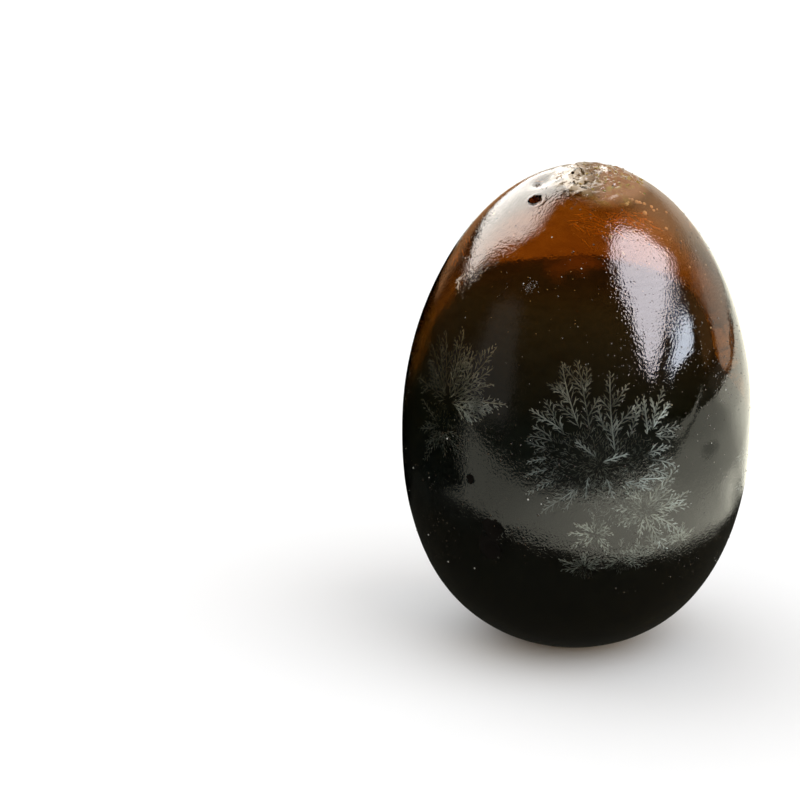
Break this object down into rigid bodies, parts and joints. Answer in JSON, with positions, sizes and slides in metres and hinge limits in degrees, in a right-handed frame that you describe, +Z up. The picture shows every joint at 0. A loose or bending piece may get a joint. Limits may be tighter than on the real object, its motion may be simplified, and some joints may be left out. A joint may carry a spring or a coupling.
{
  "type": "century egg",
  "caption": "Peeled preserved duck egg of dark translucent jelly, standing on the small flat of its broad end, with a craggy tip and frost-like crystals.",
  "frame": {"origin": "under the middle of the egg's box, on the surface it stands on", "axes": "+Z up along the egg, narrow end up; -Y is the side with the clearest crystals and pits; +X to the right as seen from that side"},
  "size_m": [0.044, 0.044, 0.0612],
  "materials": {
    "jelly": "wet, glossy set egg white: amber at the narrow end, nearly black green-brown below",
    "crystal": "fine pale grey-white needles that branch like pine twigs, just under the surface"
  },
  "bodies": {
    "root": {"egg": "jelly"}
  },
  "joints": []
}
